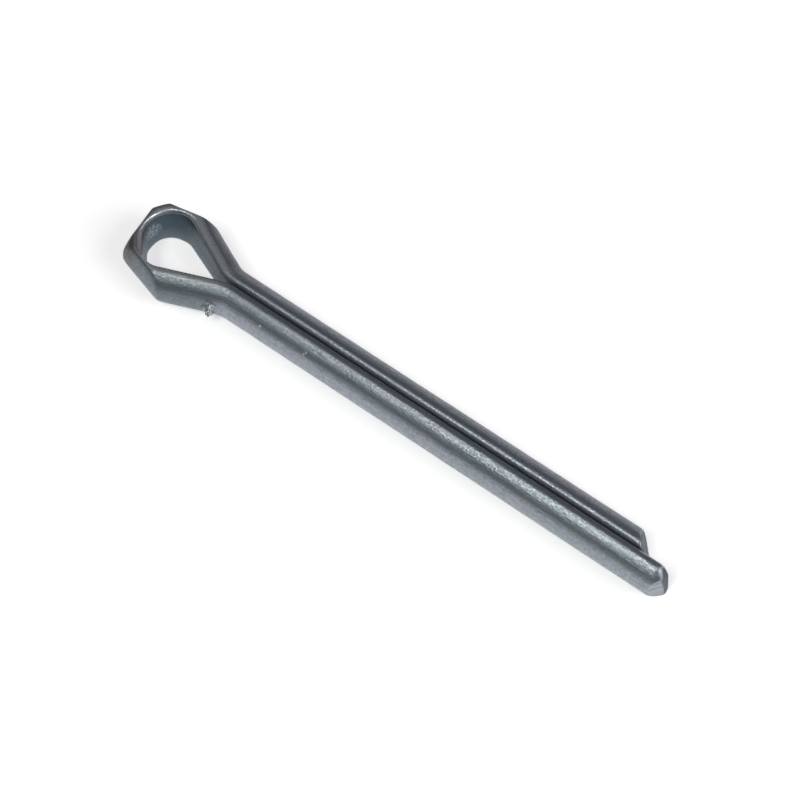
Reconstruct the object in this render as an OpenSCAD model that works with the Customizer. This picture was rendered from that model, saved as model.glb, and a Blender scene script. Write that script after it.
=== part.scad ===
// Split cotter pin, 5 x 45, folded from one length of half-round wire.
//
// The pin lies flat. x runs along the shank towards the leg ends, y runs
// across the eye, z is the axis of the eye's hole. The origin is on the
// shank's axis at the neck, where both legs have become straight.
// The wire's flat faces inwards: onto the other leg, and into the eye.

/* [Wire] */
// Diameter of the round shank that the two legs make together
shank_d = 4.5; // [3.6:0.1:5.2]
// Radius of the wire's two rounded edges
edge_r = 0.55; // [0.4:0.05:0.7]
// Gap between the flats of the two legs
leg_gap = 0.1; // [0.06:0.02:0.2]
// Depth by which the wire is drawn thinner where it is bent
bend_thinning = 0.01; // [0.005:0.005:0.03]

/* [Legs] */
// Length of the short leg, from the origin to the middle of its sheared end
short_leg_l = 43.9; // [20:0.1:80]
// Distance by which the long leg runs past the short one
leg_step = 2.2; // [0.5:0.05:4]
// Rake of the short leg's sheared end: the round back ends first
short_rake = 30; // [0:1:35]
// Lean of the short leg's end: the upper edge ends first
short_lean = 14; // [0:1:20]
// Lean of the long leg's end, which has no rake
long_lean = 13; // [0:1:20]
// Angle of the bevel that the shear left on the long leg's back
long_bevel = 42; // [30:1:50]
// Width of the long leg's end face, from the flat to the bevel
long_end_w = 1.25; // [0.8:0.05:1.6]

/* [Eye] */
// Distance from the origin to the inside of the eye's crown
eye_l = 10.7; // [8.9:0.1:13]
// Inner half width of the eye on the short leg's side, where the wire is widest
short_half_w = 3; // [2.7:0.05:3.6]
// Half width of the eye's corner on the long leg's side
long_half_w = 3.05; // [2.6:0.05:3.7]
// Distance from the crown back to that corner
long_shoulder_back = 2.3; // [2:0.1:2.8]
// Depth of the crown's corner below the axis, on the long leg's side
crown_low_y = 0.3; // [0.1:0.05:0.6]

/* [Pressed facets] */
// Direction that the short side's facet faces, in degrees from +x
short_facet_dir = 100; // [96:0.5:104]
// Depth to which that facet is pressed into the wire's round back
short_facet_depth = 1.58; // [1.2:0.02:1.8]
// Direction that the facet between the short side's and the crown's faces
corner_facet_dir = 145; // [140:0.5:150]
// Depth to which that facet is pressed into the wire's round back
corner_facet_depth = 1.42; // [1.1:0.02:1.6]
// Direction that the crown's facet faces
crown_facet_dir = 187; // [183:0.5:191]
// Depth to which that facet is pressed into the wire's round back
crown_facet_depth = 1.62; // [1.2:0.02:1.8]
// Direction that the long side's facet faces
long_facet_dir = 254; // [250:0.5:258]
// Depth to which that facet is pressed into the wire's round back
long_facet_depth = 1.42; // [1.2:0.02:1.6]

/* [Burr] */
// Radius of the main bead of the burr under the long leg's neck
burr_r = 0.42; // [0.35:0.01:0.5]

/* [Hidden] */
$fn = 96;

wire_r = shank_d / 2;
half_gap = leg_gap / 2;
// Thickness of the half-round wire, from its flat to its back.
wire_t = wire_r - half_gap;
long_leg_l = short_leg_l + leg_step;
// Bend radii round the eye, on the wire's flat.
short_shoulder_r = 2;
crown_low_r = 2.2;
long_shoulder_r = 1.7;
// Bend radii at the neck, where the wire turns the other way, on its back.
short_neck_r = 2.8;
long_neck_r = 1.2;
// Where each leg's flat leaves the axis.
short_neck_x = -1.6;
long_neck_x = -0.85;
// Beads of the burr: distance back from the neck's corner, dip below the
// wire's mid height in degrees, and radius as a share of the main bead's.
beads = [[1.5, 12, 1], [1.25, -16, 0.7], [1.75, -3, 0.65]];
// Depth below the surface at which the beads have their centres.
bead_sink = 0.2;

// Height of an edge rounding's centre above the middle of the flat.
edge_z = sqrt(pow(wire_r - edge_r, 2) - pow(edge_r + half_gap, 2));
// A block this big reaches past the wire on every side.
block = 8 * shank_d;

// One bend turns the short arm into the crown. The arm runs from the neck to
// where it is tangent to that bend, and these two lines meet in its corner.
short_centre = [short_shoulder_r - eye_l, short_half_w - short_shoulder_r];
from_neck = short_centre - [short_neck_x, half_gap];
short_arm = atan2(from_neck.y, -from_neck.x) + asin(short_shoulder_r / norm(from_neck));
short_corner_y = half_gap + (eye_l + short_neck_x) * tan(short_arm);

// Corners of the path that the middle of the flat follows, from the short
// leg's end round the eye to the long leg's end, each with its bend radius.
// Both legs start out a little too long, and are then sheared to length.
path = [
    [short_leg_l + wire_r, half_gap, 0],
    [short_neck_x, half_gap, short_neck_r + wire_t],
    [-eye_l, short_corner_y, short_shoulder_r],
    [-eye_l, -crown_low_y, crown_low_r],
    [long_shoulder_back - eye_l, -long_half_w, long_shoulder_r],
    [long_neck_x, -half_gap, long_neck_r + wire_t],
    [long_leg_l + wire_r, -half_gap, 0]
];
last = len(path) - 1;

function unit(a) = [cos(a), sin(a)];
function corner(i) = [path[i].x, path[i].y];
function bend_r(i) = path[i].z;
function heading(i) = atan2(path[i + 1].y - path[i].y, path[i + 1].x - path[i].x);
// Signed turn at corner i, anticlockwise positive, between -180 and 180 degrees.
function turn(i) = let (t = heading(i) - heading(i - 1)) t - 360 * round(t / 360);
// Length that the bend takes off the straight on each side of corner i.
function trim(i) = i == 0 || i == last ? 0 : bend_r(i) * tan(abs(turn(i)) / 2);
// Point round which the bend at corner i turns.
function centre(i) =
    corner(i) - trim(i) * unit(heading(i - 1))
    + bend_r(i) * unit(heading(i - 1) + 90 * sign(turn(i)));
// Furthest that the round back of the eye reaches in direction dir.
function back_reach(dir) =
    max([for (i = [2:last - 2]) centre(i) * unit(dir) + bend_r(i)]) + wire_t;

// Section of the wire: x from the flat outwards, y along the wire's height.
// The whole outline is drawn in by the given thinning.
module wire_section(thinning = 0) {
    edge_a = atan2(edge_z, edge_r + half_gap);
    axis = [-half_gap, 0];
    intersection() {
        union() {
            intersection() {
                translate(axis) circle(r = wire_r - thinning);
                polygon([axis, axis + block * unit(edge_a), axis + block * unit(-edge_a)]);
            }
            translate([0, -edge_z]) square([edge_r, 2 * edge_z]);
            for (side = [-1, 1])
                translate([edge_r, side * edge_z]) circle(r = edge_r - thinning);
        }
        translate([thinning, -wire_r]) square([shank_d, shank_d]);
    }
}

// Straight wire between the bends at corners i and i + 1.
module straight(i) {
    start = corner(i) + trim(i) * unit(heading(i));
    end = corner(i + 1) - trim(i + 1) * unit(heading(i));
    translate(end)
        rotate([90, 0, heading(i) - 90])
            linear_extrude(norm(end - start)) wire_section();
}

// Bend at corner i. It wraps round the eye with the flat inside, except at
// the neck, where the wire turns the other way. Each end runs a few
// hundredths into the straight next to it.
module bend(i) {
    side = sign(turn(i));
    inlet = 0.05;
    spare = inlet / bend_r(i) * 180 / PI;
    first_dir = side > 0 ? heading(i - 1) - 90 : heading(i) + 90;
    translate(centre(i))
        rotate(first_dir - spare)
            rotate_extrude(angle = abs(turn(i)) + 2 * spare)
                translate([bend_r(i), 0])
                    mirror([side > 0 ? 0 : 1, 0]) wire_section(bend_thinning);
}

// Block beyond a plane that crosses the leg at x = l and distance s from the
// axis, on the leg's own side. The rake turns the plane towards the back and
// the lean turns it towards the upper edge.
module beyond_end(l, side, rake, lean, s = 0) {
    mirror([0, side > 0 ? 0 : 1, 0])
        translate([l, s, 0])
            rotate([0, 0, rake])
                rotate([0, -lean, 0])
                    translate([0, -block / 2, -block / 2]) cube(block);
}

module short_leg() {
    difference() {
        straight(0);
        beyond_end(short_leg_l, 1, short_rake, short_lean);
    }
}

module long_leg() {
    difference() {
        straight(last - 1);
        beyond_end(long_leg_l, -1, 0, long_lean);
        beyond_end(long_leg_l, -1, long_bevel, 0, half_gap + long_end_w);
    }
}

// Block beyond a facet of the given depth that faces direction dir.
module beyond_facet(dir, depth) {
    rotate(dir) translate([back_reach(dir) - depth, -block / 2, -block / 2]) cube(block);
}

// Rough beads of metal that the bending tool left on the long leg's back.
module burr() {
    arm = heading(last - 2);
    for (bead = beads)
        translate(corner(last - 1) - bead[0] * unit(arm))
            rotate([0, bead[1], arm - 90])
                translate([wire_t - bead_sink, 0, 0]) sphere(r = burr_r * bead[2]);
}

module cotter_pin() {
    color([0.62, 0.64, 0.66])
        difference() {
            union() {
                short_leg();
                for (i = [1:last - 1]) bend(i);
                for (i = [1:last - 2]) straight(i);
                long_leg();
                burr();
            }
            beyond_facet(short_facet_dir, short_facet_depth);
            beyond_facet(corner_facet_dir, corner_facet_depth);
            beyond_facet(crown_facet_dir, crown_facet_depth);
            beyond_facet(long_facet_dir, long_facet_depth);
        }
}

cotter_pin();
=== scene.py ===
import math
import bpy
import bmesh
from mathutils import Matrix, Vector, noise


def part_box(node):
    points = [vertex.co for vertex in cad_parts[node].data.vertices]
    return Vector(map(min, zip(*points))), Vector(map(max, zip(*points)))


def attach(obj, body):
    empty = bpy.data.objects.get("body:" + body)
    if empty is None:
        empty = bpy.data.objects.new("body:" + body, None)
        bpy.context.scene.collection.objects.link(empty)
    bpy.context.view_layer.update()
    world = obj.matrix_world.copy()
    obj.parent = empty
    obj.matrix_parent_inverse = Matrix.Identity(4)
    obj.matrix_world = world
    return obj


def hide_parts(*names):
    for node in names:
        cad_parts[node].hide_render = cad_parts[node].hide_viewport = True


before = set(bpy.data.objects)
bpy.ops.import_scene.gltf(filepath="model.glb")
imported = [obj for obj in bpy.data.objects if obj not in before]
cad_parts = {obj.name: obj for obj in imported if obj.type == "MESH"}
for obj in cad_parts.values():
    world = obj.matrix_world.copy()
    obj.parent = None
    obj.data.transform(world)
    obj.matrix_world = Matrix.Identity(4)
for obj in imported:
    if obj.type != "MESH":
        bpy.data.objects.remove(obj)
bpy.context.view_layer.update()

mm = 0.001
scene = bpy.context.scene


def linear(hexCode):  # sRGB hex to a linear colour with alpha
    parts = [int(hexCode[i:i + 2], 16) / 255 for i in (1, 3, 5)]
    return [c / 12.92 if c <= 0.04045 else ((c + 0.055) / 1.055) ** 2.4 for c in parts] + [1.0]


def smooth(low, high, value):  # 0 below low, 1 above high, eased between
    t = min(1.0, max(0.0, (value - low) / (high - low)))
    return t * t * (3 - 2 * t)


def softMin(a, b, k):  # the smaller one, blended over about k
    low = min(a, b)
    return low - k * math.log(math.exp((low - a) / k) + math.exp((low - b) / k))


def heading(angle):  # flat unit vector at an angle in degrees
    return Vector((math.cos(math.radians(angle)), math.sin(math.radians(angle)), 0))


# camera, looking down across the pin from the long leg's side

view = {
    "target": (18.067, 0.21, 0.009),  # mm
    "azimuth": 36.56,
    "elevation": 61.39,
    "distance": 174.9,  # mm
    "lens": 89.62,
    "sensor": 36.0,
    "clip": (0.01, 20.0),  # m
}


def addCamera(v):
    azimuth, elevation = math.radians(v["azimuth"]), math.radians(v["elevation"])
    back = Vector((
        math.sin(azimuth) * math.cos(elevation),
        -math.cos(azimuth) * math.cos(elevation),
        math.sin(elevation),
    ))
    data = bpy.data.cameras.new("camera")
    data.lens = v["lens"]
    data.sensor_width = v["sensor"]
    data.clip_start, data.clip_end = v["clip"]
    camera = bpy.data.objects.new("camera", data)
    camera.location = (Vector(v["target"]) + back * v["distance"]) * mm
    camera.rotation_mode = "QUATERNION"
    camera.rotation_quaternion = (-back).to_track_quat("-Z", "Y")
    scene.collection.objects.link(camera)
    scene.camera = camera


addCamera(view)
scene.view_settings.view_transform = "Standard"
print("camera placed")


# the pin, all lengths in mm: half-round wire swept along its path, then pressed, sheared and burred

pin = {
    "dia": 4.5,  # across both legs
    "gap": 0.1,  # between the flats
    "edgeRadius": 0.55,  # inner edges of the half-round wire
    "edgeSteps": 14,  # points round each inner edge
    "backSteps": 48,  # round the back
    "flatCuts": 17,  # and across the flat
    # corners of the line that the middle of the flat follows, and each bend's radius
    "corners": [
        (43.9, 0.05, 0),
        (-1.6, 0.05, 5.0),
        (-10.7, 4.064, 2.3),
        (-10.7, -0.3, 2.2),
        (-8.4, -3.05, 1.7),
        (-0.85, -0.05, 6.0),
        (46.1, -0.05, 0),
    ],
    "eyeStep": 0.15,  # ring spacing round the eye, on the wire's back
    "legStep": 0.5,  # ring spacing along the legs
    # ring spacing up to each sheared end, and scales of the rings drawn in over it
    "tipSteps": [0.02, 0.02, 0.03, 0.04, 0.06, 0.08, 0.12, 0.18, 0.25, 0.35],
    "capScales": [0.97, 0.86, 0.74, 0.62, 0.5, 0.38, 0.26, 0.14],
    # pressed flats round the eye: direction they face, depth pressed in, how much they bulge
    "flats": [(100, 1.27, 0.15), (145, 0.84, 0.35), (187, 1.3, 0.4), (214, 0.2, 0.3), (254, 1.12, 0.7)],
    "bulgeHeight": 2.1,  # where the bulge reaches its full depth
    "sideOn": 0.3,  # share of a flat's direction below which it doesn't press the wire
    "crease": 0.07,  # rounding where two flats meet
    "flatEdge": 0.09,  # rounding between a flat and the wire's round back
    "thickest": 10.0,  # room where nothing presses
    "thinnest": 0.15,  # wall that is always left
    "squeezed": 0.95,  # where the wall is thinner than this, the edge rounding is squeezed to fit it
    "lean": 0.16,  # how far the short arm leans out at the shoulder, per mm of height
    "leanGrows": (-1.6, 7.2),  # from this x, over this length
    "leanEnds": (-11.2, -8.2),  # and it fades out over the crown
    "upset": 0.28,  # how far the short shoulder's back is squared out
    "upsetPlace": (-7.9, 1.0),  # x and half length of that
    "upsetGrows": (0.5, 1.2),  # distances from the flat
    "sharpened": 0.13,  # how far the crown's edge rounding is drawn in over the eye
    "sharpenedSide": 140,  # direction of that
    "sharpenedTurn": (0.5, 0.9),  # how squarely the wire has to face it
    "sharpenedWidth": 0.9,  # from the flat
    "waves": (0.02, 0.7),  # height and frequency of the slight waves along the wire
    "wavesGrow": (0.2, 1.2),  # distances from the flat
    "insideStarts": (-1.2, -2.4),  # x over which the inside of the eye begins
    "insideDepth": 0.05,  # and distance from the flat over which it ends
    "shearZone": 5.0,  # length of leg that takes up the shear's slant
    "core": 1.0,  # distance from the axis of the point that each rim is drawn in towards
    "rimRadius": (0.36, 0.1),  # rounding where the short and the long leg were sheared
    # planes that the shears cut along: x on the axis, and its change per mm of y and of z
    "shortEnd": (43.9, -0.577, -0.288),
    "longEnd": (46.3, 0.0, -0.1),
    "bevel": (46.93, 0.67, 0.0),
    "longCorner": (47.335, -0.9, -1.0),
    "endRounding": (0.04, 0.15),  # between the long end and its bevel, and at that corner
    "cutShades": (0.66, 0.3, 0.7),  # how torn the short end, the bevel and the long end are; the more torn, the darker: bare steel, with painted shade on the end faces
    "shadeEdge": 0.1,  # half width of the change from the bevel's shade to the long end's
    "tornRim": 0.4,  # share of the short end's rim that is torn too
    "dragged": 0.44,  # how far the shear dragged the long leg's top edge down
    "draggedFrom": (45.2, 46.4),  # x
    "draggedAbove": (-0.6, 2.1),  # z
    # rough beads of metal under the long leg's neck: centre, height, radius
    "burr": [
        ((-1.4, -2.4, -0.4), 0.38, 0.42),
        ((-1.15, -2.3, 0.45), 0.32, 0.32),
        ((-1.8, -2.55, 0.15), 0.28, 0.28),
        ((-1.4, -2.4, 0.9), 0.16, 0.2),
    ],
    "burrFacing": (0.333, -0.8361),  # x and y of the direction it stands out in, at mid height
    "burrReach": (1.3, 1.6),  # of the finer mesh and of the beads
    "burrBelow": (-1.5, -1.2),  # y that each of them stays under
    "burrCuts": 3,
    "burrGlintRise": 0.2,  # rise from which a bead's top takes the full painted glint
    "burrOutline": (3.1, 0.3),  # frequency and depth of its ragged outline
    "burrLumps": [(5.3, 0.55), (11.0, 0.3)],  # and of the lumps on it
}


def drawSection(bm, p):
    # outline of the wire at the short leg's end, three arcs and the flat
    wireR, edgeR, half = p["dia"] / 2, p["edgeRadius"], p["gap"] / 2
    edgeZ = math.sqrt((wireR - edgeR) ** 2 - (edgeR + half) ** 2)
    edgeA = math.atan2(edgeZ, edgeR + half)
    x, y = p["corners"][0][:2]
    arcs = [
        (Vector((x, y + edgeR, -edgeZ)), math.pi - edgeA, p["edgeSteps"]),
        (Vector((x, 0, 0)), 2 * edgeA, p["backSteps"]),
        (Vector((x, y + edgeR, edgeZ)), math.pi - edgeA, p["edgeSteps"]),
    ]
    first = tip = bm.verts.new((x, y, -edgeZ))
    for centre, angle, steps in arcs:
        made = bmesh.ops.spin(
            bm, geom=[tip], cent=centre, axis=(1, 0, 0), dvec=(0, 0, 0),
            angle=angle, steps=steps, use_merge=False,
        )
        tip = next(g for g in made["geom_last"] if isinstance(g, bmesh.types.BMVert))
    closing = bmesh.ops.contextual_create(bm, geom=[tip, first])["edges"]
    bmesh.ops.subdivide_edges(bm, edges=closing, cuts=p["flatCuts"])
    return list(bm.edges)


def vertsOf(edges):
    return list({v: None for e in edges for v in e.verts})


def pullRing(bm, ring, shift):
    # one more stretch of straight wire
    made = bmesh.ops.extrude_edge_only(bm, edges=ring)["geom"]
    verts = [g for g in made if isinstance(g, bmesh.types.BMVert)]
    fresh = set(verts)
    bmesh.ops.translate(bm, verts=verts, vec=shift)
    return [g for g in made if isinstance(g, bmesh.types.BMEdge) and fresh.issuperset(g.verts)]


def closeEnd(bm, ring, p, sheared):
    # rings drawn in over the sheared face, down to a small middle face, each marked with its scale
    middle = sum((v.co for v in vertsOf(ring)), Vector()) / len(ring)
    last = 1.0
    for scale in p["capScales"]:
        ring = pullRing(bm, ring, (0, 0, 0))
        verts = vertsOf(ring)
        bmesh.ops.scale(
            bm, verts=verts, vec=Vector((1, 1, 1)) * scale / last, space=Matrix.Translation(-middle),
        )
        last = scale
        for v in verts:
            v[sheared] = scale
    bmesh.ops.contextual_create(bm, geom=ring)


def planPath(p):
    # straights and bends in order, with the length of wire used up to each
    corners = [Vector((x, y, 0)) for x, y, r in p["corners"]]
    radii = [r for x, y, r in p["corners"]]
    headings = []
    for a, b in zip(corners, corners[1:]):
        headings.append(math.degrees(math.atan2(b.y - a.y, b.x - a.x)))
    turns = [0] + [(b - a + 180) % 360 - 180 for a, b in zip(headings, headings[1:])] + [0]
    trims = [r * math.tan(math.radians(abs(t)) / 2) for r, t in zip(radii, turns)]
    parts, used = [], 0.0
    for i, along in enumerate(headings):
        start = corners[i] + heading(along) * trims[i]
        end = corners[i + 1] - heading(along) * trims[i + 1]
        parts.append({"kind": "straight", "start": start, "end": end, "heading": along, "used": used})
        used += (end - start).length
        if i + 1 < len(headings):
            turn, radius = turns[i + 1], radii[i + 1]
            side = 1 if turn > 0 else -1
            parts.append({
                "kind": "bend", "centre": end + heading(along + 90 * side) * radius, "radius": radius,
                "turn": turn, "side": side, "heading": along, "used": used,
            })
            used += radius * math.radians(abs(turn))
    return parts, used


def sweepWire(bm, p):
    # wire holds each vertex's place in the straight wire: along, out from the flat, height
    layers = bm.verts.layers
    wire, out = layers.float_vector.new("wire"), layers.float_vector.new("out")
    sheared = layers.float.new("sheared")
    parts, total = planPath(p)
    wireT = p["dia"] / 2 - p["gap"] / 2
    ring = drawSection(bm, p)
    done = set()

    def mark(place):
        for v in bm.verts:
            if v not in done:
                flatPoint, outward, along = place(v)
                v[wire] = (along, (v.co - flatPoint).dot(outward), v.co.z)
                v[out] = outward
                done.add(v)

    closeEnd(bm, ring, p, sheared)
    ring = [e for e in bm.edges if len(e.link_faces) == 1]
    for part in parts:
        if part["kind"] == "straight":
            length = (part["end"] - part["start"]).length
            onLeg = part is parts[0] or part is parts[-1]
            steps = list(p["tipSteps"]) if part is parts[0] else []
            last = list(reversed(p["tipSteps"])) if part is parts[-1] else []
            rest = length - sum(steps) - sum(last)
            count = max(1, math.ceil(rest / (p["legStep"] if onLeg else p["eyeStep"])))
            steps += [rest / count] * count + last
            outward = heading(part["heading"] - 90)

            def place(v, part=part, outward=outward):
                step = (v.co - part["start"]).dot(heading(part["heading"]))
                flat = part["start"] + heading(part["heading"]) * step
                return flat, outward, part["used"] + step

            for step in steps:
                mark(place)
                ring = pullRing(bm, ring, heading(part["heading"]) * step)
        else:
            reach = part["radius"] + (wireT if part["side"] > 0 else 0)
            steps = max(4, math.ceil(math.radians(abs(part["turn"])) * reach / p["eyeStep"]))
            made = bmesh.ops.spin(
                bm, geom=ring + vertsOf(ring), cent=part["centre"], axis=(0, 0, 1), dvec=(0, 0, 0),
                angle=math.radians(part["turn"]), steps=steps, use_merge=False,
            )
            ring = [g for g in made["geom_last"] if isinstance(g, bmesh.types.BMEdge)]

            def place(v, part=part):
                arm = v.co - part["centre"]
                arm.z = 0
                direction = arm.normalized()
                started = heading(part["heading"] - 90 * part["side"])
                swept = math.atan2(started.cross(direction).z, started.dot(direction)) * part["side"]
                flat = part["centre"] + direction * part["radius"]
                return flat, direction * part["side"], part["used"] + part["radius"] * swept

        mark(place)
    closeEnd(bm, ring, p, sheared)
    end = parts[-1]
    mark(lambda v: (end["end"], heading(end["heading"] - 90), total))
    return parts, total


def roomUnder(p, planes, base, outward, z):
    # how thick the wire can be at this point before it meets a pressed flat
    room = p["thickest"]
    for facing, level, bulge in planes:
        facingOut = outward.dot(facing)
        if facingOut > p["sideOn"]:
            bulged = level - bulge * (z / p["bulgeHeight"]) ** 2
            room = softMin(room, (bulged - base.dot(facing)) / facingOut, p["crease"])
    return max(room, p["thinnest"])


def pressFlats(bm, p, parts):
    # every vertex moves in or out along its own ring's direction, so the wire can't fold over itself
    wire, out = bm.verts.layers.float_vector["wire"], bm.verts.layers.float_vector["out"]
    inner = bm.verts.layers.float.new("inner")
    bends = [q for q in parts if q["kind"] == "bend" and q["side"] > 0]
    wireT = p["dia"] / 2 - p["gap"] / 2
    planes = []
    for angle, depth, bulge in p["flats"]:
        reach = max(b["centre"].dot(heading(angle)) + b["radius"] for b in bends) + wireT
        planes.append((heading(angle), reach - depth, bulge))
    waveHeight, waveFrequency = p["waves"]
    leanStart, leanLength = p["leanGrows"]
    upsetX, upsetLength = p["upsetPlace"]
    for v in bm.verts:
        n, z = v[wire][1:]
        base = v.co - v[out] * n
        base.z = 0
        x = base.x
        # marks the eye's inner walls, which the material darkens as painted shade
        v[inner] = smooth(*p["insideStarts"], x) * (1 - smooth(0.0, p["insideDepth"], n))
        # slight waves, less on the flats
        reach = n + waveHeight * noise.noise(v.co * waveFrequency) * smooth(*p["wavesGrow"], n)
        if v.co.y > 0 and v.co.x < leanStart:
            # the short arm leans out towards its shoulder, and its back is squared out there
            share = min(1.0, max(0.0, (leanStart - x) / leanLength)) * smooth(*p["leanEnds"], x)
            base += v[out] * p["lean"] * share * z
            bump = math.exp(-((x - upsetX) / upsetLength) ** 2)
            reach += p["upset"] * bump * smooth(*p["upsetGrows"], n)
        if v.co.x < 0:
            if n < p["sharpenedWidth"]:
                squarely = smooth(*p["sharpenedTurn"], v[out].dot(heading(p["sharpenedSide"])))
                reach -= p["sharpened"] * squarely * math.sin(math.pi * max(0.0, n) / p["sharpenedWidth"])
            room = roomUnder(p, planes, base, v[out], z)
            if room < p["squeezed"]:
                inside = reach < p["squeezed"]
                reach = reach * room / p["squeezed"] if inside else reach - p["squeezed"] + room
            reach = softMin(reach, room, p["flatEdge"])
        v.co = base + v[out] * reach
        v.co.z = z


def planeX(plane, y, z):
    return plane[0] + plane[1] * y + plane[2] * z


def shearEnds(bm, p):
    # slanted end faces with a rounded rim
    sheared = bm.verts.layers.float["sheared"]
    shortShade, bevelShade, endShade = p["cutShades"]
    zone = p["shearZone"]
    for v in bm.verts:
        short = v.co.y > 0
        tipX = p["corners"][0 if short else -1][0]
        if v.co.x <= tipX - zone:
            continue
        rim = p["rimRadius"][0 if short else 1]
        y, z = v.co.y, v.co.z
        face, bevel = planeX(p["longEnd"], y, z), planeX(p["bevel"], y, z)
        if short:
            cut = planeX(p["shortEnd"], y, z)
        else:
            cut = softMin(face, bevel, p["endRounding"][0])
            cut = softMin(cut, planeX(p["longCorner"], y, z), p["endRounding"][1])
        left = (tipX - v.co.x) / zone * (cut - tipX + zone)
        if left < rim or v[sheared]:
            drop = v[sheared] * rim or rim - math.sqrt(max(0.0, rim ** 2 - (rim - left) ** 2))
            middle = p["core"] if short else -p["core"]
            v.co += Vector((0, middle - y, -z)).normalized() * drop
        v.co.x = cut - left
        if short:
            if v[sheared] or left < p["tornRim"] * rim:
                v[sheared] = shortShade
        else:
            if v[sheared]:
                atEnd = smooth(-p["shadeEdge"], p["shadeEdge"], bevel - face)
                v[sheared] = bevelShade + (endShade - bevelShade) * atEnd
            dragged = smooth(*p["draggedFrom"], v.co.x) * smooth(*p["draggedAbove"], z)
            v.co.z -= p["dragged"] * dragged


def raiseBurr(bm, p):
    # finer mesh under the neck, pulled out into beads
    middle = Vector(p["burr"][0][0])
    meshReach, beadReach = p["burrReach"]
    meshTop, beadTop = p["burrBelow"]
    near = {v for v in bm.verts if (v.co - middle).length < meshReach and v.co.y < meshTop}
    patch = [e for e in bm.edges if near.issuperset(e.verts)]
    bmesh.ops.subdivide_edges(bm, edges=patch, cuts=p["burrCuts"], use_grid_fill=True)
    burr = bm.verts.layers.float.new("burr")
    frequency, depth = p["burrOutline"]
    for v in bm.verts:
        if (v.co - middle).length > beadReach or v.co.y > beadTop:
            continue
        facing = Vector((*p["burrFacing"], v.co.z / (p["dia"] / 2))).normalized()
        rise = 0.0
        for centre, height, radius in p["burr"]:
            off = v.co - Vector(centre)
            off -= facing * off.dot(facing)
            t = off.length / radius * (1 + depth * noise.noise(v.co * frequency))
            if t < 1:
                rise = max(rise, height * math.sqrt(1 - t * t))
        if rise > 0:
            rise *= 1 + sum(amount * noise.noise(v.co * scale) for scale, amount in p["burrLumps"])
            v.co += facing * rise
            # how much painted glint the bead tops take
            v[burr] = min(1.0, rise / p["burrGlintRise"])


def makePin(p):
    bm = bmesh.new()
    parts, total = sweepWire(bm, p)
    pressFlats(bm, p, parts)
    shearEnds(bm, p)
    raiseBurr(bm, p)
    bmesh.ops.scale(bm, verts=bm.verts, vec=(mm, mm, mm))
    bmesh.ops.recalc_face_normals(bm, faces=bm.faces)
    if bm.calc_volume(signed=True) < 0:
        bmesh.ops.reverse_faces(bm, faces=bm.faces)
    for face in bm.faces:
        face.smooth = True
    openEdges = sum(len(e.link_faces) != 2 for e in bm.edges)
    print("pin: verts", len(bm.verts), "open edges", openEdges, "wire mm", round(total, 2))
    mesh = bpy.data.meshes.new("splitPin")
    bm.to_mesh(mesh)
    bm.free()
    piece = bpy.data.objects.new("splitPin", mesh)
    scene.collection.objects.link(piece)
    return piece


splitPin = makePin(pin)


def addNode(tree, kind, settings=None, inputs=None):
    # an input takes a value, or another node's output to link
    node = tree.nodes.new(kind)
    for name, value in (settings or {}).items():
        setattr(node, name, value)
    for name, value in (inputs or {}).items():
        if isinstance(value, bpy.types.NodeSocket):
            tree.links.new(value, node.inputs[name])
        else:
            node.inputs[name].default_value = value
    return node


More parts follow.
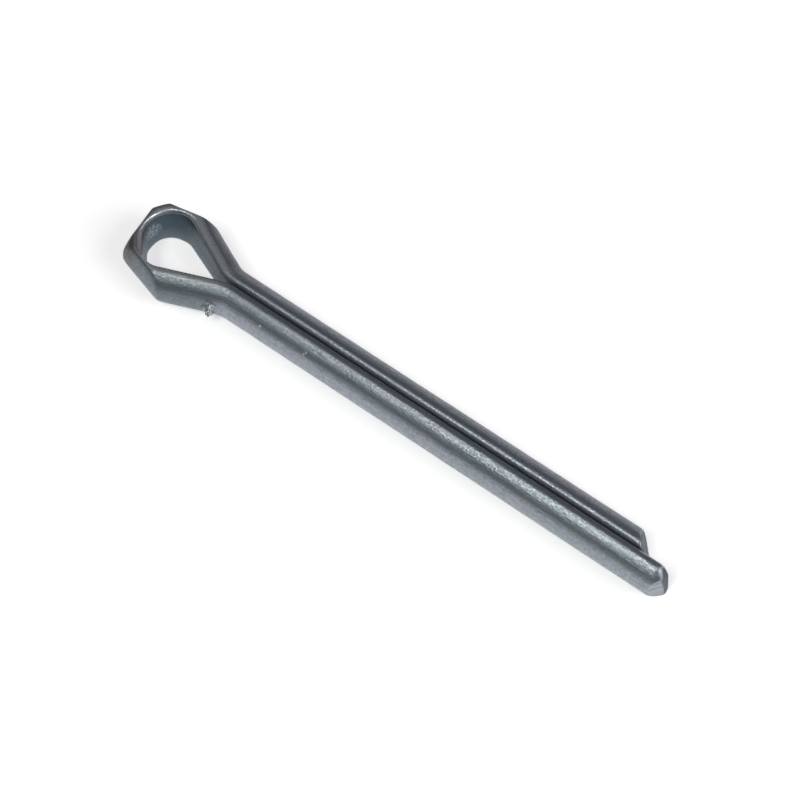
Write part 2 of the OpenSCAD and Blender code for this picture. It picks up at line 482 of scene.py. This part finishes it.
# x, y and z are the object's in mm, and out is the distance from the wire's flat
zinc = {
    "roughness": (0.47, 0.33),  # in the pits and on top of the grain
    "metallic": (0.9, 0.3),  # the zinc's white bloom scatters a little, torn steel more
    "relief": 0.000045,  # m
    "reliefStrength": 0.6,
    # noise on the straight wire or on the object: scale per mm along x, y and z, and detail.
    # The real grit and drawing lines are finer, and are drawn this coarse so that they show
    "textures": {
        "grain": ("wire", (4.4, 4.4, 4.4), 2.0),  # soft mottle of the plating, about 0.2 mm
        "fine": ("wire", (9.68, 9.68, 9.68), 1.0),
        "drawn": ("wire", (0.12, 5.0, 5.0), 3.0),  # lines from the drawing die
        "chatter": ("wire", (5.0, 1.0, 1.0), 2.0),  # faint marks across the wire
        "patches": ("wire", (0.4, 0.4, 0.4), 2.0),
        "scores": ("place", (0.4, 7.0, 0.6), 2.0),  # left by the blade on the end faces
        "scrapes": ("place", (0.3, 0.3, 8.0), 2.0),  # and on the bevel
    },
    "textureRoughness": 0.6,
    "blends": {
        "streaks": {"grain": 1.0, "drawn": 0.6},
        "speckle": {"grain": 1.0, "fine": 0.35},
        "surface": {"grain": 1.0, "drawn": 0.6, "fine": 0.4, "chatter": 0.8},
    },
    # each mask multiplies its conditions: a field, where it gives nothing, where it gives all,
    # and the least it gives. A field alone counts as it is, and a point means the distance from it
    "masks": {
        "peaks": [("streaks", 0.55, 1.05)],
        "warmPatches": [("patches", 0.4, 0.6)],
        "eye": [("x", 0.4, -2.2)],
        # painted highlight along the eye's upper edge
        "rim": [
            ("eye",), ("out", 0.0, 0.09), ("out", 1.05, 0.65), ("z", 1.3, 1.7),
            ("grain", 0.3, 0.55, 0.55),
        ],
        "crownBack": [("x", -8.6, -10.4), ("out", 0.5, 0.9)],
        # painted pink highlight on the crown's edge
        "crownEdgeHighlight": [
            ("x", -8.4, -9.2), ("y", -3.0, -2.2), ("y", -0.4, -1.2), ("z", 1.2, 1.6),
            ("out", 0.42, 0.54), ("out", 0.72, 0.6),
        ],
        # painted shade down the short leg's back
        "shortBackShade": [
            ("out", 0.9, 1.6), ("y", 0.7, 1.4), ("x", -11.0, -8.8, 0.3),
            ("x", -4.5, -1.5, 0.667), ("x", 2.5, 0.5, 0.667),
        ],
        # painted shade inside the eye, weaker towards the bottom
        "inside": [("inner",), ("z", -1.9, 0.2, 0.45)],
        "scuffs": [((-10.4, 0.7, 0.2), 1.2, 0.6), ("speckle", 0.6, 0.72)],
        # small near-white dots on the long leg's top
        "brightDotA": [((4.05, -1.78, 1.35), 0.16, 0.08)],
        "brightDotB": [((9.1, -1.61, 1.56), 0.15, 0.075)],
        "brightDotC": [((8.95, -1.75, 1.38), 0.13, 0.065)],
        "cut": [("sheared", 0.0, 0.3)],
        "torn": [("sheared", 0.35, 0.9)],
        "scraped": [("scrapes", 0.3, 0.6)],
        "scored": [("scores", 0.4, 0.75)],
        # painted glints on the bead tops
        "burrGlints": [("burr",), ("fine", 0.42, 0.56)],
    },
    # shades go from their first colour to their second by a mask
    "shades": {
        "plating": ("#868c95", "#a5abb3", "peaks"),  # in the shallow pits of the grain, and on top
        "clouds": ("#8e9aa0", "#9b98a4", "warmPatches"),
        "bevel": ("#5d666d", "#a5abb3", "scraped"),
        "steel": ("#3b3f45", "#676c73", "scored"),
        "endFace": ("bevel", "steel", "torn"),
    },
    # coats over the plating, in order: hex colour or shade, strength, and mask if not all over
    "coats": [
        ("clouds", 0.25, None),
        ("#5d666d", 0.5, "eye"),  # duller where the wire was worked
        ("#dde1e3", 1.0, "rim"),  # painted highlight along the eye's upper edge
        ("#6a625f", 0.65, "crownBack"),  # browner and darker over the crown's back
        ("#b58f88", 0.9, "crownEdgeHighlight"),  # painted pink highlight on the crown's edge
        ("#5f5f66", 0.9, "shortBackShade"),  # painted shade down the short leg's back
        ("#4e5e69", 1.0, "inside"),  # painted shade on the walls inside the eye, weaker towards the bottom
        ("#a3b2bd", 0.65, "scuffs"),
        # small near-white dots on the long leg's top
        ("#e3e8ea", 1.0, "brightDotA"),
        ("#e3e8ea", 1.0, "brightDotB"),
        ("#e3e8ea", 1.0, "brightDotC"),
        # the cut ends: bare steel, with painted shade on the end faces
        ("endFace", 1.0, "cut"),
        # painted glints on the bead tops
        ("#dde1e3", 1.0, "burrGlints"),
    ],
    "roughened": {"eye": 0.06, "rim": -0.11, "torn": 0.45},
    "smoothed": {"inside": 0.7, "rim": 0.75},  # share of the relief that is gone
}


def addMask(tree, fields, conditions):
    # product of the conditions, as the note at masks says
    mask = None
    for source, *limits in conditions:
        if isinstance(source, tuple):
            away = {0: fields["place"], 1: source}
            source = addNode(tree, "ShaderNodeVectorMath", {"operation": "DISTANCE"}, away).outputs["Value"]
        else:
            source = fields[source]
        if limits:
            ramp = {"Value": source, "From Min": limits[0], "From Max": limits[1]}
            ramp["To Min"] = limits[2] if len(limits) > 2 else 0.0
            eased = {"interpolation_type": "SMOOTHSTEP"}
            source = addNode(tree, "ShaderNodeMapRange", eased, ramp).outputs[0]
        if mask is not None:
            both = {0: mask, 1: source}
            source = addNode(tree, "ShaderNodeMath", {"operation": "MULTIPLY"}, both).outputs[0]
        mask = source
    return mask


def colourOf(shades, name):  # a shade made before, or a hex colour
    return shades[name] if name in shades else linear(name)


def weighedSum(tree, fields, weights, start):
    # start, plus each field times its weight
    total = start
    for name, weight in weights.items():
        terms = {0: fields[name], 1: weight, 2: total}
        total = addNode(tree, "ShaderNodeMath", {"operation": "MULTIPLY_ADD"}, terms).outputs[0]
    return total


def zincPlatedSteel(m):
    # dull grey zinc over drawn steel wire: soft grainy gloss, lines along the wire
    material = bpy.data.materials.new("dullZincPlatedSteelWire")
    material.use_nodes = True
    tree = material.node_tree
    shader = tree.nodes["Principled BSDF"]

    # what the masks can read
    wire = addNode(tree, "ShaderNodeAttribute", {"attribute_name": "wire"}).outputs["Vector"]
    place = addNode(tree, "ShaderNodeTexCoord").outputs["Object"]
    inMm = {0: place, "Scale": 1 / mm}
    place = addNode(tree, "ShaderNodeVectorMath", {"operation": "SCALE"}, inMm).outputs[0]
    fields = {"wire": wire, "place": place}
    for axis, output in zip("xyz", addNode(tree, "ShaderNodeSeparateXYZ", {}, {0: place}).outputs):
        fields[axis] = output
    fields["out"] = addNode(tree, "ShaderNodeSeparateXYZ", {}, {0: wire}).outputs[1]
    for name in ("inner", "sheared", "burr"):
        fields[name] = addNode(tree, "ShaderNodeAttribute", {"attribute_name": name}).outputs["Fac"]
    for name, (base, scale, detail) in m["textures"].items():
        stretched = {"Vector": fields[base], "Scale": scale}
        stretched = addNode(tree, "ShaderNodeMapping", {}, stretched).outputs[0]
        grit = {"Vector": stretched, "Scale": 1.0, "Detail": detail, "Roughness": m["textureRoughness"]}
        fields[name] = addNode(tree, "ShaderNodeTexNoise", {}, grit).outputs[0]
    for name, weights in m["blends"].items():
        fields[name] = weighedSum(tree, fields, weights, 0.0)
    for name, conditions in m["masks"].items():
        fields[name] = addMask(tree, fields, conditions)

    shades = {}
    for name, (first, second, mask) in m["shades"].items():
        pair = {0: fields[mask], 6: colourOf(shades, first), 7: colourOf(shades, second)}
        shades[name] = addNode(tree, "ShaderNodeMix", {"data_type": "RGBA"}, pair).outputs[2]
    colour = shades["plating"]
    for coat, strength, mask in m["coats"]:
        factor = weighedSum(tree, fields, {mask: strength}, 0.0) if mask else strength
        pair = {0: factor, 6: colour, 7: colourOf(shades, coat)}
        colour = addNode(tree, "ShaderNodeMix", {"data_type": "RGBA"}, pair).outputs[2]

    eased = {"interpolation_type": "SMOOTHSTEP"}
    pits, tops = m["roughness"]
    ramp = {"Value": fields["grain"], "From Min": 0.3, "From Max": 0.7, "To Min": pits, "To Max": tops}
    gloss = addNode(tree, "ShaderNodeMapRange", eased, ramp).outputs[0]
    gloss = weighedSum(tree, fields, m["roughened"], gloss)
    plated, torn = m["metallic"]
    ramp = {"Value": fields["torn"], "To Min": plated, "To Max": torn}
    metallic = addNode(tree, "ShaderNodeMapRange", eased, ramp).outputs[0]
    kept = weighedSum(tree, fields, {name: -share for name, share in m["smoothed"].items()}, 1.0)
    relief = {0: fields["surface"], 1: kept}
    relief = addNode(tree, "ShaderNodeMath", {"operation": "MULTIPLY"}, relief).outputs[0]
    bump = {"Height": relief, "Strength": m["reliefStrength"], "Distance": m["relief"]}
    bump = addNode(tree, "ShaderNodeBump", {}, bump).outputs[0]
    outputs = {"Base Color": colour, "Roughness": gloss, "Metallic": metallic, "Normal": bump}
    for name, output in outputs.items():
        tree.links.new(output, shader.inputs[name])
    return material


splitPin.data.materials.append(zincPlatedSteel(zinc))
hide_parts("cotter_pin")
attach(splitPin, "root")
print("pin finished")


studio = {
    "floorSize": 8.0,  # m
    "floorDrop": 0.00002,  # m below the pin
    "floorColour": "#f8f6f6",
    "lift": 0.52,  # keeps the paper white where the camera or a reflection sees it
    "near": "#3f4a4f",  # dim room on the long leg's side
    "far": "#605e66",  # and on the short leg's
    "turn": (-0.7, 0.3),  # y of the directions over which one room becomes the other
    # direction, distance, width and height in m, radiance and colour
    "softboxes": {
        "keyLight": ((-0.045, -0.47, 0.87), 0.9, 0.2, 0.3, 13.5, "#f5f9f0"),
        "sideLight": ((0.8, 0.1, 0.6), 0.9, 0.5, 0.5, 4.2, "#ffffff"),
    },
}


def addFloor(s):
    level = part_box("cotter_pin")[0].z - s["floorDrop"]
    bm = bmesh.new()
    bmesh.ops.create_grid(bm, x_segments=1, y_segments=1, size=s["floorSize"] / 2)
    bmesh.ops.translate(bm, verts=bm.verts, vec=(0, 0, level))
    mesh = bpy.data.meshes.new("floor")
    bm.to_mesh(mesh)
    bm.free()
    floor = bpy.data.objects.new("floor", mesh)
    scene.collection.objects.link(floor)
    # matt white paper: no gloss, only the pin's soft shadow
    material = bpy.data.materials.new("whitePaper")
    material.use_nodes = True
    tree = material.node_tree
    tree.nodes.clear()
    diffuse = addNode(tree, "ShaderNodeBsdfDiffuse", {}, {"Color": linear(s["floorColour"])})
    path = addNode(tree, "ShaderNodeLightPath").outputs
    seen = path["Is Camera Ray"]
    for ray in ("Is Glossy Ray", "Is Transmission Ray"):
        seen = addNode(tree, "ShaderNodeMath", {"operation": "MAXIMUM"}, {0: seen, 1: path[ray]}).outputs[0]
    lift = addNode(tree, "ShaderNodeMath", {"operation": "MULTIPLY"}, {0: seen, 1: s["lift"]})
    glow = addNode(tree, "ShaderNodeEmission", {}, {"Strength": lift.outputs[0]})
    both = addNode(tree, "ShaderNodeAddShader", {}, {0: diffuse.outputs[0], 1: glow.outputs[0]})
    addNode(tree, "ShaderNodeOutputMaterial", {}, {"Surface": both.outputs[0]})
    mesh.materials.append(material)


def addWorld(s):
    world = bpy.data.worlds.new("studio")
    world.use_nodes = True
    scene.world = world
    tree = world.node_tree
    place = addNode(tree, "ShaderNodeTexCoord").outputs["Generated"]
    across = addNode(tree, "ShaderNodeSeparateXYZ", {}, {0: place}).outputs[1]
    ramp = {"Value": across, "From Min": s["turn"][0], "From Max": s["turn"][1]}
    share = addNode(tree, "ShaderNodeMapRange", {}, ramp).outputs[0]
    rooms = {0: share, 6: linear(s["near"]), 7: linear(s["far"])}
    room = addNode(tree, "ShaderNodeMix", {"data_type": "RGBA"}, rooms).outputs[2]
    tree.links.new(room, tree.nodes["Background"].inputs["Color"])


def addSoftbox(name, direction, distance, width, height, radiance, colour):
    direction = Vector(direction).normalized()
    data = bpy.data.lights.new(name, "AREA")
    data.shape = "RECTANGLE"
    data.size, data.size_y = width, height
    data.energy = radiance * math.pi * width * height
    data.color = linear(colour)[:3]
    lamp = bpy.data.objects.new(name, data)
    lamp.location = direction * distance
    lamp.rotation_mode = "QUATERNION"
    lamp.rotation_quaternion = (-direction).to_track_quat("-Z", "Y")
    scene.collection.objects.link(lamp)


addFloor(studio)
addWorld(studio)
for name, softbox in studio["softboxes"].items():
    addSoftbox(name, *softbox)
print("floor and lights placed")
